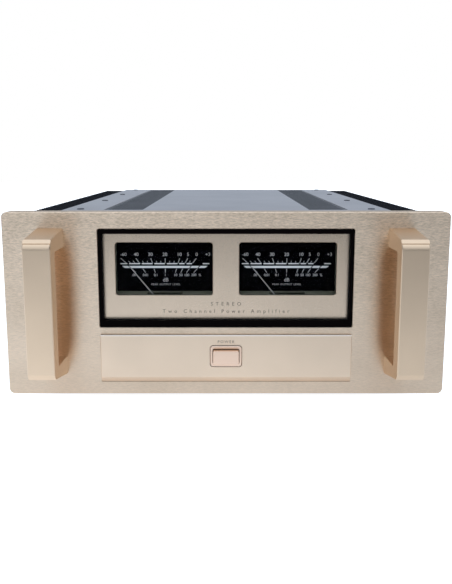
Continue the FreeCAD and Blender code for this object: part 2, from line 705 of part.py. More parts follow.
def output_transistors():
    """The right-hand channel's ten output devices, flat against the heatsink's inner face."""
    made = []
    for i in range(10):
        y = 123 + 26 * i
        body = box(SINK_INNER - 5, SINK_INNER, y - 8, y + 8, 34, 54)
        body = body.cut(Part.makeCylinder(1.7, 10, V(SINK_INNER - 8, y, 50), V(1, 0, 0)))
        legs = [box(SINK_INNER - 3, SINK_INNER - 2.4, y + k * 5.4 - 0.6, y + k * 5.4 + 0.6, 54, 64)
                for k in (-1, 0, 1)]
        made.append(fused(body, *legs))
    return made


def protection_board():
    y = 436.0
    solids = [box(-80, 80, y, y + 1.6, 150, 202)]
    for x in (-60, -20, 20, 60):
        solids.append(box(x - 14, x + 14, y - 26, y, 168, 196))
    for x in (-72, -48, 48, 72):
        solids.append(box(x - 5, x + 5, y - 10, y, 153, 163))
    for x in (-66, -44, 44, 66):
        solids.append(box(x - 6, x + 6, y + 1.6, y + 13, 150, 160))
    for x in (-76, 76):
        for z in (156, 196):
            solids.append(rod(x, z, y + 1.6, REAR_INNER, 3))
    return solids


# ---------------------------------------------------------------- rear sockets
def mains_inlet():
    flange = slab(-24, 24, 45, 87, REAR_FACE, REAR_FACE + 3, 4)
    flange = flange.makeChamfer(0.8, [e for e in flange.Edges if e.BoundBox.YMin > REAR_FACE + 2.9])
    body = box(-15, 15, 438, REAR_FACE, 48, 84)
    recess = slab(-12.2, 12.2, 61, 78, 455, REAR_FACE + 4, 2)
    drawer_room = box(-11.2, 11.2, 450, REAR_FACE + 4, 50.8, 57.2)
    inlet = cut(fused(flange, body), recess, drawer_room)
    blades = [box(x - 1, x + 1, 454, REAR_FACE - 0.5, z, z + 4) for x, z in ((-7, 64), (7, 64), (0, 71))]
    screws = [rod(s * 19.5, 66, REAR_FACE + 3, REAR_FACE + 4.6, 2.8) for s in (-1, 1)]
    return [fused(inlet, *blades)] + screws


def fuse_drawer():
    tray = box(-11, 11, 452, REAR_FACE + 3, 51, 57)
    front = slab(-13, 13, 49.5, 58.5, REAR_FACE + 3, REAR_FACE + 5, 1)
    well = box(-10.3, 10.3, 455.5, 462.0, 51.6, 58)
    fuse = Part.makeCylinder(2.5, 20, V(-10, 458.7, 54.1), V(1, 0, 0))
    return [cut(fused(tray, front), well), fuse]


def rca_socket(x):
    face = REAR_FACE
    shell = rod(x, RCA_Z, 448, face + 10, RCA_RADIUS)
    flange = rod(x, RCA_Z, face, face + 2.5, 7.5)
    nut = rod(x, RCA_Z, REAR_INNER - 4, REAR_INNER, 7)
    metal = cut(fused(shell, flange, nut), rod(x, RCA_Z, 447, face + 11, 3.4))
    insulator = cut(rod(x, RCA_Z, 450, face + 8.5, 3.4), rod(x, RCA_Z, face - 4, face + 9, 1.6))
    return [metal, insulator]


def speaker_posts():
    made = []
    for x in POST_X:
        stud = rod(x, POST_Z, 448, POST_STUD_END, 4.0)
        stud = stud.cut(rod(x, POST_Z, POST_STUD_END - 20, POST_STUD_END + 1, BANANA_RADIUS))
        base = fused(
            rod(x, POST_Z, REAR_FACE, POST_BASE_END, 10.5),
            rod(x, POST_Z, REAR_INNER, REAR_FACE, 4.5),
        )
        base = base.cut(rod(x, POST_Z, 440, 500, 4.05))
        nut = cut(rod(x, POST_Z, REAR_INNER - 5, REAR_INNER, 8), rod(x, POST_Z, 440, 500, 4.05))
        made += [stud, base, nut]
    return made


def post_washer(x):
    ring = rod(x, POST_Z, POST_BASE_END + 0.05, POST_BASE_END + POST_WASHER, 9.0)
    return ring.cut(rod(x, POST_Z, 460, 500, 4.1))


def post_cap(x):
    """Clamping cap with a ridged grip. The stud's mouth stays open at its outer end."""
    start, end = POST_BASE_END + POST_WASHER + 0.05, POST_CAP_END - 2
    ridges = []
    for i in range(2 * CAP_RIDGES):
        a = math.pi * i / CAP_RIDGES
        radius = CAP_GRIP_RADIUS if i % 2 else CAP_GRIP_RADIUS - 0.7
        ridges.append(V(x + radius * math.cos(a), start, POST_Z + radius * math.sin(a)))
    grip = Part.Face(Part.makePolygon(ridges + ridges[:1])).extrude(V(0, end - start, 0))
    nose = Part.makeCone(CAP_GRIP_RADIUS - 0.8, CAP_GRIP_RADIUS - 1.6, 2, V(x, end, POST_Z), V(0, 1, 0))
    return cut(grip.fuse(nose), rod(x, POST_Z, start - 1, POST_CAP_END + 1, 4.08))


# ---------------------------------------------------------------- wiring
def lead(points, diameter):
    """A tube along straight runs joined by tangent arcs. Prints its length and tightest radius."""
    points = [V(*p) for p in points]
    edges, start, radii = [], points[0], []
    for before, corner, after in zip(points, points[1:], points[2:]):
        a, b = (before - corner), (after - corner)
        reach = 0.45 * min(a.Length, b.Length)
        turn = math.pi - a.getAngle(b)
        radii.append(reach / math.tan(turn / 2))
        a.normalize()
        b.normalize()
        p, q = corner + a * reach, corner + b * reach
        middle_way = a + b
        middle_way.normalize()
        away = radii[-1] / math.cos(turn / 2) - radii[-1]
        edges.append(Part.LineSegment(start, p).toShape())
        edges.append(Part.Arc(p, corner + middle_way * away, q).toShape())
        start = q
    edges.append(Part.LineSegment(start, points[-1]).toShape())
    path = Part.Wire(edges)
    ring = Part.Wire(Part.makeCircle(diameter / 2, points[0], points[1] - points[0]))
    tube = path.makePipeShell([ring], True, True)
    expected = math.pi * diameter ** 2 / 4 * path.Length
    print(f"lead {path.Length:.0f} mm, least radius {min(radii):.1f}, volume {tube.Volume / expected:.3f}")
    return tube


def mains_harness():
    """Inlet to power switch, and power switch to transformer."""
    to_switch = [
        (15, 452, 66), (42, 452, 66), (72, 447, 52), (94, 428, 34), (101, 386, 28),
        (104, 310, 27), (103, 232, 27), (98, 164, 29), (86, 118, 38), (64, 98, 52),
        (40, 94, 60), (16, 94, 60),
    ]
    to_transformer = [
        (-16, 94, 60), (-35, 94, 60), (-50, 95, 71), (-56, 99, 89), (-55, 107, 108), (-51, 118, 124),
        (-46, 131, 134), (-42, 145, 134), (-40, 155, 125), (-40, 158, 112), (-40, 158, 99),
    ]
    return [lead(to_switch, 7.0), lead(to_transformer, 4.5)]


def supply_leads():
    """Transformer to supply board, and supply board to both amplifier boards."""
    made = []
    for s in (-1, 1):
        x = s * 20
        up = [(x, 255, 99), (x, 255, 114), (x, 258, 129), (x, 264, 141), (x, 273, 146), (x, 287, 146)]
        made.append(lead(up, 3.5))
        for k in (0, 8):
            across = [
                (80, 344 + k, 146), (93, 344 + k, 146), (106, 345 + k, 141), (122, 347 + k, 139),
                (137, 348 + k, 144), (150, 348 + k, 144),
            ]
            made.append(lead([(s * px, py, pz) for px, py, pz in across], 3.0))
    return made


def audio_leads():
    """Input sockets to amplifier boards, amplifier boards to relays, relays to speaker posts."""
    signal = [
        (120, 450, 150), (120, 432, 150), (120.6, 412, 149), (122, 393, 147),
        (127, 377, 144.6), (138, 366.5, 144), (150, 366.5, 144),
    ]
    output = [
        (150, 365, 128), (137, 365, 128), (122, 372, 131), (107, 385, 140),
        (90, 398, 150), (76, 405, 156), (72, 413, 158), (72, 426, 158),
    ]
    routes = [(signal, 3.0), (output, 3.5)]
    for start_x, end_x in ((44.0, 105.0), (66.0, 135.0)):
        third = (end_x - start_x) / 3
        speaker = [
            (start_x, 444, 150), (start_x, 444, 134), (start_x + 5, 443, 119), (start_x + third, 438, 111),
            (end_x - third - 3, 431, 110), (end_x - 9, 424, 106.3), (end_x - 1, 421, 94.3),
            (end_x, 423, 81), (end_x, 433.5, 75), (end_x, 448, 75),
        ]
        routes.append((speaker, 3.5))
    made = []
    for route, diameter in routes:
        for s in (-1, 1):
            made.append(lead([(s * x, y, z) for x, y, z in route], diameter))
    return made


# ---------------------------------------------------------------- nodes
def main():
    os.makedirs("parts", exist_ok=True)
    export("front_panel", front_panel())
    export("window_frame", window_frame())
    export("window_glass", window_glass())
    export("window_gasket", window_gasket())
    export("meter_fascia", meter_fascia())
    export("sub_panel", sub_panel())
    export("power_bezel", power_bezel())
    export("power_button", power_button())
    export("power_pushrod", power_pushrod())
    export("power_switch", *power_switch())
    right_handle = handle()
    export("handle_right", right_handle)
    export("handle_left", mirrored(right_handle))
    export("handle_screws", *[cap_screw(x, z, -14, 11.5, 3.0, 5.2, 5.5) for x, z in handle_screw_places()])

    export("front_chassis_plate", front_chassis_plate())
    export("bottom_plate", bottom_plate())
    export("rear_panel", rear_panel())
    export("top_cover", top_cover())
    grille = vent_grille()
    export("vent_grille_right", grille)
    export("vent_grille_left", mirrored(grille))
    rail = cover_rail()
    export("cover_rails", rail, mirrored(rail))
    export("cover_screws", *cover_screws())
    export("chassis_screws", *chassis_screws())
    sink = heatsink()
    export("heatsink_right", sink)
    export("heatsink_left", mirrored(sink))
    export("feet", *[foot(x, y) for x, y in foot_places()])
    export("foot_pads", *[foot_pad(x, y) for x, y in foot_places()])

    for side, x in (("left", -METER_X), ("right", METER_X)):
        export("meter_case_" + side, meter_case(x))
        export("meter_dial_" + side, meter_dial(x))
        export("meter_movement_" + side, *meter_movement(x))
        export("meter_needle_" + side, meter_needle(x))
    export("meter_lamps", *meter_lamps())
    export("meter_driver_board", *meter_driver_board())

    export("power_transformer", power_transformer())
    export("transformer_clamp", *transformer_clamp())
    export("filter_capacitors", *filter_capacitors())
    export("capacitor_clamp", *capacitor_clamp())
    export("power_supply_board", *power_supply_board())
    board, devices = amplifier_board(), output_transistors()
    export("amplifier_board_right", *board)
    export("amplifier_board_left", *[mirrored(s) for s in board])
    export("output_transistors", *devices, *[mirrored(s) for s in devices])
    export("protection_board", *protection_board())

    export("mains_inlet", *mains_inlet())
    export("fuse_drawer", *fuse_drawer())
    export("input_sockets", *rca_socket(-RCA_X), *rca_socket(RCA_X))
    export("speaker_posts", *speaker_posts())
    for name, x in zip(POST_NAMES, POST_X):
        export("post_washer_" + name, post_washer(x))
        export("post_cap_" + name, post_cap(x))
    export("mains_harness", *mains_harness())
    export("supply_leads", *supply_leads())
    export("audio_leads", *audio_leads())


main()
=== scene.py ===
import math

import bpy
from mathutils import Matrix, Vector


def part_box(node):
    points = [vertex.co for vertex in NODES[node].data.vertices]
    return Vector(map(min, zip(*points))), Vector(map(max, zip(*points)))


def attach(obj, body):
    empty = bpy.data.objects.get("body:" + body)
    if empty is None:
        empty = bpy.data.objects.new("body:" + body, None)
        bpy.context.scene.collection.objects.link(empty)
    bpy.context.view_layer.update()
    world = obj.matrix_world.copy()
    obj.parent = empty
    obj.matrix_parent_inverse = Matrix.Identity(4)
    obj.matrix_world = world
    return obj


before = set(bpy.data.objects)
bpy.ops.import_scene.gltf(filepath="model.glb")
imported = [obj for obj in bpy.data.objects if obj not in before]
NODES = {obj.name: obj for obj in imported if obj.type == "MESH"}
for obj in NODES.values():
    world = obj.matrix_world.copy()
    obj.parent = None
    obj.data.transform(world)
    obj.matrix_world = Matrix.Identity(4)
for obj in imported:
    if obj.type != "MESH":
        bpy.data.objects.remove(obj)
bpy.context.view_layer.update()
MM = 0.001

# ---------------------------------------------------------------- places taken from the frame
PANEL_LOW, PANEL_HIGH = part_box("front_panel")
BEZEL_LOW, BEZEL_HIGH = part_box("power_bezel")
SUB_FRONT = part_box("sub_panel")[0].y
FASCIA_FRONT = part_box("meter_fascia")[0].y
REAR_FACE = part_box("rear_panel")[1].y
PANEL_TOP = PANEL_HIGH.z


# ---------------------------------------------------------------- material nodes
class Shade:
    """One material with its Principled shader, and short calls for the nodes that feed it."""

    def __init__(self, name, colour=(0.5, 0.5, 0.5), rough=0.5, metal=0.0, **more):
        self.mat = bpy.data.materials.new(name)
        self.mat.use_nodes = True
        self.tree = self.mat.node_tree
        self.shader = self.tree.nodes["Principled BSDF"]
        self.shader.inputs["Base Color"].default_value = (*colour, 1)
        self.shader.inputs["Roughness"].default_value = rough
        self.shader.inputs["Metallic"].default_value = metal
        for key, value in more.items():
            self.shader.inputs[key.replace("_", " ")].default_value = value

    def add(self, kind, inputs, **settings):
        node = self.tree.nodes.new("ShaderNode" + kind)
        for key, value in settings.items():
            setattr(node, key, value)
        for key, value in inputs.items():
            if isinstance(value, bpy.types.NodeSocket):
                self.tree.links.new(value, node.inputs[key])
            else:
                node.inputs[key].default_value = value
        return node

    def feed(self, socket, value):
        self.tree.links.new(value, self.shader.inputs[socket])

    def place(self, stretch=(1, 1, 1)):
        """Row-frame position, in metres, with each axis multiplied."""
        where = self.tree.nodes.new("ShaderNodeTexCoord").outputs["Object"]
        return self.add("Mapping", {"Vector": where, "Scale": stretch}).outputs["Vector"]

    def noise(self, scale, stretch=(1, 1, 1), detail=3.0, rough=0.5):
        inputs = {"Vector": self.place(stretch), "Scale": scale, "Detail": detail, "Roughness": rough}
        return self.add("TexNoise", inputs).outputs["Fac"]

    def remap(self, value, low, high, start=0.3, end=0.7):
        inputs = {"Value": value, "From Min": start, "From Max": end, "To Min": low, "To Max": high}
        return self.add("MapRange", inputs).outputs["Result"]

    def ramp(self, value, *stops):
        node = self.add("ValToRGB", {"Fac": value})
        line = node.color_ramp
        while len(line.elements) < len(stops):
            line.elements.new(0.5)
        for element, (position, colour) in zip(line.elements, stops):
            element.position = position
            element.color = (*colour, 1)
        return node.outputs["Color"]

    def maths(self, operation, a, b=0.0):
        return self.add("Math", {0: a, 1: b}, operation=operation).outputs[0]

    def blend(self, share, a, b):
        node = self.add("Mix", {0: share}, data_type="RGBA")
        for index, value in ((6, a), (7, b)):
            if isinstance(value, bpy.types.NodeSocket):
                self.tree.links.new(value, node.inputs[index])
            else:
                node.inputs[index].default_value = (*value, 1)
        return node.outputs[2]

    def bump(self, height, strength, distance, under=None):
        inputs = {"Height": height, "Strength": strength, "Distance": distance}
        if under is not None:
            inputs["Normal"] = under
        return self.add("Bump", inputs).outputs["Normal"]


def scaled(colour, factor):
    return tuple(channel * factor for channel in colour)


# ---------------------------------------------------------------- metals
GOLD = (0.80, 0.605, 0.43)
ROSE_GOLD = (0.84, 0.585, 0.42)
HANDLE_GOLD = (0.79, 0.575, 0.385)
GRAIN_SHADE = (0.60, 0.44, 0.29)
# painted highlight colour, blended onto upward faces to stand for light from overhead
PAINTED_TOP_HIGHLIGHT = (0.98, 0.93, 0.87)


def brushed_champagne():
    """Front panel: short mottled streaks along x that fade downwards, and a blur that is widest upright."""
    s = Shade("brushed_champagne", GOLD, 0.36, 1.0, Anisotropic=0.95)
    streak = s.noise(1.0, (230, 300, 980), 6, 0.7)
    cloud = s.noise(1.0, (9, 9, 22), 3)
    height = s.add("SeparateXYZ", {0: s.place()}).outputs[2]
    share = s.remap(height, 0.3, 1.0, PANEL_LOW.z + 0.04, PANEL_TOP)
    spread = s.maths("MULTIPLY", s.maths("SUBTRACT", streak, 0.5), share)
    grain = s.maths("ADD", s.maths("MULTIPLY", spread, 0.75), s.remap(cloud, 0.47, 0.53))
    s.feed("Base Color", s.ramp(grain, (0.38, GRAIN_SHADE), (0.5, GOLD), (0.62, scaled(GOLD, 1.24))))
    s.feed("Roughness", s.remap(streak, 0.33, 0.4))
    s.feed("Tangent", s.add("CombineXYZ", {0: 0.0, 1: 0.0, 2: 1.0}).outputs[0])
    fine = s.noise(1.0, (90, 900, 3200), 4, 0.6)
    s.feed("Normal", s.bump(fine, 0.1, 0.0003, s.bump(streak, 0.1, 0.0008)))
    return s.mat


def satin_champagne(name, colour=GOLD, tint=1.0, rough=0.36, painted_highlight_share=0.0):
    """Bead-blasted and anodised: a fine even sparkle and faint clouding. Upward faces can get a painted
    highlight: a paler colour where light from above would fall.
    """
    base = scaled(colour, tint)
    s = Shade(name, base, rough, 1.0)
    cloud = s.noise(14, (1, 1, 1), 2)
    skin = s.ramp(cloud, (0.3, scaled(base, 0.96)), (0.7, scaled(base, 1.03)))
    speck = s.noise(2600, (1, 1, 1), 2)
    s.feed("Normal", s.bump(speck, 0.06, 0.0003))
    # painted highlight: faces that point up are blended towards a pale colour, as overhead light would
    # brighten them
    if painted_highlight_share:
        normal = s.tree.nodes.new("ShaderNodeNewGeometry").outputs["Normal"]
        top_highlight_share = s.remap(s.add("SeparateXYZ", {0: normal}).outputs[2], 0.0, painted_highlight_share, 0.3, 0.7)
        skin = s.blend(top_highlight_share, skin, PAINTED_TOP_HIGHLIGHT)
    s.feed("Base Color", skin)
    s.feed("Roughness", s.remap(speck, rough - 0.05, rough + 0.06))
    return s.mat


def fine_metal(name, colour, rough, speck=0.08, size=1900, spread=0.06):
    s = Shade(name, colour, rough, 1.0)
    grain = s.noise(size, (1, 1, 1), 2)
    cloud = s.noise(11, (1, 1, 1), 3)
    s.feed("Base Color", s.ramp(cloud, (0.3, scaled(colour, 0.92)), (0.7, scaled(colour, 1.06))))
    s.feed("Roughness", s.remap(grain, rough - spread, rough + spread))
    s.feed("Normal", s.bump(grain, speck, 0.0003))
    return s.mat


def turned_metal(name, colour, rough):
    s = Shade(name, colour, rough, 1.0)
    line = s.noise(1.0, (700, 5200, 700), 3, 0.6)
    s.feed("Base Color", s.ramp(line, (0.3, scaled(colour, 0.85)), (0.7, scaled(colour, 1.08))))
    s.feed("Roughness", s.remap(line, rough - 0.06, rough + 0.1))
    s.feed("Normal", s.bump(line, 0.1, 0.0002))
    return s.mat


def extruded_black():
    """Black anodised extrusion with faint drawing lines along the fins."""
    colour = (0.007, 0.007, 0.010)
    s = Shade("extruded_black", colour, 0.5, 0.0, Specular_IOR_Level=0.08)
    line = s.noise(1.0, (900, 900, 16), 3, 0.6)
    s.feed("Base Color", s.ramp(line, (0.35, scaled(colour, 0.7)), (0.7, scaled(colour, 1.6))))
    s.feed("Roughness", s.remap(line, 0.42, 0.6))
    s.feed("Normal", s.bump(line, 0.12, 0.0003))
    return s.mat


# ---------------------------------------------------------------- paints, plastics and rubber
def painted(name, colour, rough, size=900, depth=0.14, coat=0.0, sheen=0.5):
    s = Shade(name, colour, rough, 0.0, Coat_Weight=coat, Coat_Roughness=0.12, Specular_IOR_Level=sheen)
    grain = s.noise(size, (1, 1, 1), 3)
    cloud = s.noise(9, (1, 1, 1), 3)
    s.feed("Base Color", s.ramp(cloud, (0.3, scaled(colour, 0.86)), (0.7, scaled(colour, 1.15))))
    s.feed("Roughness", s.remap(grain, rough - 0.06, rough + 0.08))
    s.feed("Normal", s.bump(grain, depth, 0.0004))
    return s.mat


def pane():
    """Window glass with a non-reflecting face. Lamps reach what is behind it."""
    s = Shade("pane", (1, 1, 1), 0.02, 0.0, Transmission_Weight=1.0, IOR=1.06)
    smear = s.noise(30, (1, 1, 1), 3)
    s.feed("Roughness", s.remap(smear, 0.0, 0.004))
    clear = s.add("BsdfTransparent", {"Color": (0.97, 0.98, 0.98, 1)})
    path = s.tree.nodes.new("ShaderNodeLightPath").outputs["Is Shadow Ray"]
    both = s.add("MixShader", {0: path, 1: s.shader.outputs[0], 2: clear.outputs[0]})
    s.tree.links.new(both.outputs[0], s.tree.nodes["Material Output"].inputs["Surface"])
    return s.mat


# the axis across each laminate, and its two faces' distances from the origin
LAMINATES = {
    "driver_board": (1, 0.1569, 0.1585),
    "supply_board": (2, 0.1389, 0.1411),
    "amplifier_boards": (0, 0.1499, 0.1517),
    "relay_board": (1, 0.2104, 0.2122),
}


def circuit_board(name):
    """Green laminate between its two faces, and mixed dark and pale parts outside them."""
    axis, low, high = LAMINATES[name]
    s = Shade(name, (0.03, 0.1, 0.05), 0.45)
    split = s.add("SeparateXYZ", {0: s.place()})
    value = s.maths("ABSOLUTE", split.outputs[axis])
    inside = s.maths("MULTIPLY", s.maths("GREATER_THAN", value, low), s.maths("LESS_THAN", value, high))
    cells = s.add("TexVoronoi", {"Vector": s.place(), "Scale": 130.0}, feature="F1", distance="CHEBYCHEV")
    track = s.ramp(cells.outputs["Distance"], (0.22, (0.02, 0.085, 0.04)), (0.26, (0.035, 0.13, 0.06)))
    island = s.tree.nodes.new("ShaderNodeNewGeometry").outputs["Random Per Island"]
    part = s.ramp(island, (0.0, (0.015, 0.015, 0.017)), (0.55, (0.03, 0.035, 0.06)),
                  (0.8, (0.32, 0.31, 0.28)))
    s.feed("Base Color", s.blend(inside, part, track))
    s.feed("Roughness", s.remap(cells.outputs["Distance"], 0.32, 0.5))
    s.feed("Normal", s.bump(cells.outputs["Distance"], 0.08, 0.0003))
    return s.mat


def wound_tape():
    """Toroid: overlapping turns of tape round the ring under a dark varnish."""
    turn_count = 72
    s = Shade("wound_tape", (0.03, 0.03, 0.035), 0.4, 0.0, Coat_Weight=0.3, Coat_Roughness=0.2)
    low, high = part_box("power_transformer")
    centre = (low + high) / 2
    where = s.add("VectorMath", {0: s.place(), 1: tuple(centre)}, operation="SUBTRACT")
    split = s.add("SeparateXYZ", {0: where.outputs[0]})
    angle = s.maths("ARCTAN2", split.outputs[0], split.outputs[1])
    turns = s.maths("FRACT", s.maths("MULTIPLY", angle, turn_count / (2 * math.pi)))
    s.feed("Base Color", s.ramp(turns, (0.0, (0.012, 0.012, 0.014)), (0.12, (0.045, 0.045, 0.05)),
                                (1.0, (0.03, 0.03, 0.034))))
    s.feed("Roughness", s.remap(s.noise(60), 0.3, 0.48))
    s.feed("Normal", s.bump(turns, 0.4, 0.0008))
    return s.mat


def capacitor_skin():
    """Dark blue sleeve up the sides, a dark lid and bright terminals on top."""
    lid_depth, terminal_depth = 8.4 * MM, 5.9 * MM
    s = Shade("capacitor_skin", (0.01, 0.02, 0.07), 0.3, 0.0, Coat_Weight=0.4, Coat_Roughness=0.1)
    low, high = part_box("filter_capacitors")
    height = s.add("SeparateXYZ", {0: s.place()}).outputs[2]
    top = s.maths("GREATER_THAN", height, high.z - lid_depth)
    screw = s.maths("GREATER_THAN", height, high.z - terminal_depth)
    sleeve = s.ramp(s.noise(20), (0.3, (0.008, 0.016, 0.06)), (0.7, (0.012, 0.025, 0.085)))
    lid = s.blend(top, sleeve, (0.06, 0.06, 0.065))
    s.feed("Base Color", s.blend(screw, lid, (0.6, 0.58, 0.52)))
    s.feed("Metallic", screw)
    s.feed("Roughness", s.remap(s.noise(200), 0.24, 0.36))
    return s.mat


def gold_plate():
    """Gold plate over fine turning lines."""
    s = Shade("switch_metals", (0.85, 0.6, 0.25), 0.22, 1.0)
    line = s.noise(1.0, (900, 5000, 900), 3)
    s.feed("Base Color", s.ramp(line, (0.3, (0.72, 0.49, 0.18)), (0.7, (0.9, 0.66, 0.3))))
    s.feed("Roughness", s.remap(line, 0.16, 0.3))
    return s.mat


def finish_frame():
    """Gives every CAD node its finish."""
    satin = satin_champagne("satin_champagne", HANDLE_GOLD)
    gloss_black = painted("gloss_black", (0.0022, 0.001, 0.0009), 0.4, 700, 0.03, 0.0, 0.02)
    chassis = painted("chassis_paint", (0.022, 0.022, 0.024), 0.5, 1500, 0.3)
    black_plastic = painted("black_plastic", (0.014, 0.014, 0.015), 0.42, 1400, 0.2)
    rubber = painted("soft_rubber", (0.012, 0.012, 0.012), 0.75, 700, 0.3)
    cover = fine_metal("cover_anodised", (0.69, 0.64, 0.62), 0.34, 0.08, 1500)
    grille = painted("grille_paint", (0.125, 0.12, 0.12), 0.42, 1200, 0.2)
    sink = extruded_black()
    zinc = fine_metal("zinc_plate", (0.62, 0.61, 0.6), 0.32, 0.1, 800)
    black_screw = painted("black_oxide", (0.02, 0.02, 0.022), 0.5, 1200, 0.08, 0.0, 0.15)
    gold = gold_plate()
    case = painted("meter_case_plastic", (0.16, 0.15, 0.10), 0.5, 900, 0.1)
    epoxy = painted("epoxy_black", (0.012, 0.012, 0.013), 0.35, 1100, 0.15)
    wire_black = painted("wire_black", (0.012, 0.012, 0.013), 0.4, 500, 0.1)
    wire_red = painted("wire_red", (0.3, 0.012, 0.012), 0.4, 500, 0.1)
    wire_pale = painted("wire_pale", (0.5, 0.5, 0.48), 0.45, 500, 0.1)
    grip_red = painted("grip_red", (0.32, 0.008, 0.008), 0.3, 600, 0.06, 0.4)
    grip_black = painted("grip_black", (0.01, 0.01, 0.011), 0.3, 600, 0.06, 0.4)
    iron = turned_metal("soft_iron", (0.42, 0.41, 0.4), 0.34)
    finishes = {
        "front_panel": brushed_champagne(),
        "window_frame": gloss_black,
        "window_glass": pane(),
        "window_gasket": rubber,
        "meter_fascia": satin_champagne("fascia_champagne", GOLD, 0.9, 0.3),
        # sub-panel and bezel: the last argument sets how strongly a painted highlight paints their upward
        # faces pale
        "sub_panel": satin_champagne("sub_champagne", GOLD, 1.06, 0.42, 0.9),
        "power_bezel": satin_champagne("bezel_champagne", ROSE_GOLD, 1.0, 0.28, 0.5),
        "power_button": satin_champagne("button_champagne", ROSE_GOLD, 1.05, 0.34),
        "power_pushrod": turned_metal("rod_steel", (0.6, 0.6, 0.6), 0.28),
        "power_switch": black_plastic,
        "handle_left": satin,
        "handle_right": satin,
        "handle_screws": black_screw,
        "front_chassis_plate": chassis,
        "bottom_plate": chassis,
        "rear_panel": chassis,
        "top_cover": cover,
        "vent_grille_left": grille,
        "vent_grille_right": grille,
        "cover_rails": zinc,
        "cover_screws": painted("cover_screw_finish", (0.075, 0.075, 0.08), 0.45, 1200, 0.08, 0.0, 0.3),
        "chassis_screws": black_screw,
        "heatsink_left": sink,
        "heatsink_right": sink,
        "feet": black_plastic,
        "foot_pads": rubber,
        "meter_case_left": case,
        "meter_case_right": case,
        "meter_dial_left": painted("dial_black", (0.0015, 0.0013, 0.002), 0.7, 900, 0.05, 0.0, 0.0),
        "meter_movement_left": iron,
        "meter_movement_right": iron,
        "meter_needle_left": painted("pointer_white", (0.5, 0.48, 0.43), 0.5, 500, 0.04, 0.0, 0.2),
        "meter_lamps": painted("lamp_milky", (0.8, 0.76, 0.62), 0.3, 300, 0.02, 0.3),
        "meter_driver_board": circuit_board("driver_board"),
        "power_transformer": wound_tape(),
        "transformer_clamp": zinc,
        "filter_capacitors": capacitor_skin(),
        "capacitor_clamp": zinc,
        "power_supply_board": circuit_board("supply_board"),
        "amplifier_board_left": circuit_board("amplifier_boards"),
        "output_transistors": epoxy,
        "protection_board": circuit_board("relay_board"),
        "mains_inlet": black_plastic,
        "fuse_drawer": black_plastic,
        "input_sockets": gold,
        "speaker_posts": gold,
        "mains_harness": wire_black,
        "supply_leads": wire_red,
        "audio_leads": wire_pale,
    }
    for pair in ("meter_dial", "meter_needle", "amplifier_board"):
        finishes[pair + "_right"] = finishes[pair + "_left"]
    for name in NODES:
        if name.startswith("post_washer"):
            finishes[name] = gold
        if name.startswith("post_cap"):
            finishes[name] = grip_red if name.endswith("plus") else grip_black
    for name, node in NODES.items():
        node.data.materials.clear()
        node.data.materials.append(finishes[name])


# ---------------------------------------------------------------- printed marks
HALF_PRINT = 0.03 * MM                     # half the thickness of every printed mark


def printed(name, shapes, material):
    """Joins flat outlines into one thin raised print. Each shape is a list of x, y, z corners."""
    mesh = bpy.data.meshes.new(name)
    points, faces = [], []
    depth = Vector((0, -2 * HALF_PRINT, 0))
    for corners in shapes:
        first, count = len(points), len(corners)
        points += [tuple(Vector(c)) for c in corners] + [tuple(Vector(c) + depth) for c in corners]
        faces.append([first + i for i in range(count)])
        faces.append([first + count + i for i in reversed(range(count))])
        for i in range(count):
            j = (i + 1) % count
            faces.append([first + i, first + count + i, first + count + j, first + j])
    mesh.from_pydata(points, [], faces)
    mesh.update()
    piece = bpy.data.objects.new(name, mesh)
    bpy.context.scene.collection.objects.link(piece)
    mesh.materials.append(material)
    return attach(piece, "chassis")


def lettering(text, size, place, spacing=1.0, from_rear=False):
    """A raised line of generic lettering, as a mesh in the row frame."""
    curve = bpy.data.curves.new("text", "FONT")
    curve.body = text
    curve.size = size
    curve.align_x = "CENTER"
    curve.align_y = "CENTER"
    curve.space_character = spacing
    curve.extrude = HALF_PRINT
    curve.resolution_u = 3
    text_object = bpy.data.objects.new("text", curve)
    bpy.context.scene.collection.objects.link(text_object)
    bpy.context.view_layer.update()
    graph = bpy.context.evaluated_depsgraph_get()
    mesh = bpy.data.meshes.new_from_object(text_object.evaluated_get(graph))
    turn = Matrix.Rotation(math.pi / 2, 4, "X")
    if from_rear:
        turn = Matrix.Rotation(math.pi, 4, "Z") @ turn
    mesh.transform(Matrix.Translation(place) @ turn)
    bpy.data.objects.remove(text_object)
    return mesh


def joined(name, meshes, material):
    """One piece from several meshes."""
    points, faces = [], []
    for mesh in meshes:
        first = len(points)
        points += [tuple(v.co) for v in mesh.vertices]
        faces += [[first + i for i in polygon.vertices] for polygon in mesh.polygons]
        bpy.data.meshes.remove(mesh)
    whole = bpy.data.meshes.new(name)
    whole.from_pydata(points, [], faces)
    whole.update()
    whole.materials.append(material)
    piece = bpy.data.objects.new(name, whole)
    bpy.context.scene.collection.objects.link(piece)
    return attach(piece, "chassis")


def stroke(x0, z0, x1, z1, width, y):
    """A straight printed line between two points, as four corners."""
    along = Vector((x1 - x0, 0, z1 - z0)).normalized()
    side = Vector((-along.z, 0, along.x)) * (width / 2)
    a, b = Vector((x0, y, z0)), Vector((x1, y, z1))
    return [a - side, b - side, b + side, a + side]


